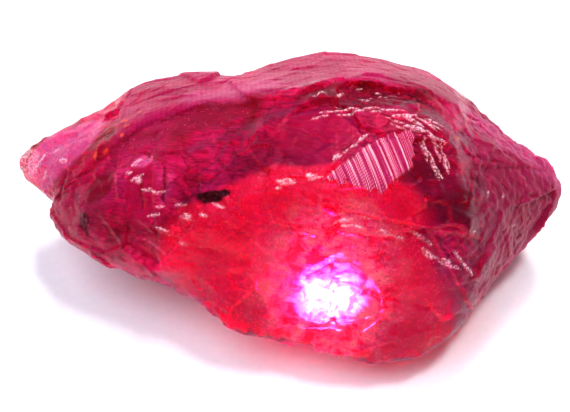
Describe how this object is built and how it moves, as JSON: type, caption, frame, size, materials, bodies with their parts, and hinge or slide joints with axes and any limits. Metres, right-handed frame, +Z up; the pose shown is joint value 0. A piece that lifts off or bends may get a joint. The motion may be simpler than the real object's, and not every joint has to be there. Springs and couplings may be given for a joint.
{
  "type": "raw ruby crystal",
  "caption": "Rough, uncut red corundum stone: a long lump of grown-together flat-sided lobes with a pale tip at one end, lying on a flat foot.",
  "frame": {"origin": "centre of the bounding box at the level of the foot", "axes": "+X along the stone from the pale tip to the blunt end, +Y away from the near face, +Z up from the foot"},
  "size_m": [0.058, 0.034, 0.025],
  "materials": {
    "ruby": "rough ruby: see-through red, frosted and striated on its growth faces, glossy on fresh breaks"
  },
  "bodies": {
    "root": {"ruby_crystal": "ruby"}
  },
  "joints": []
}
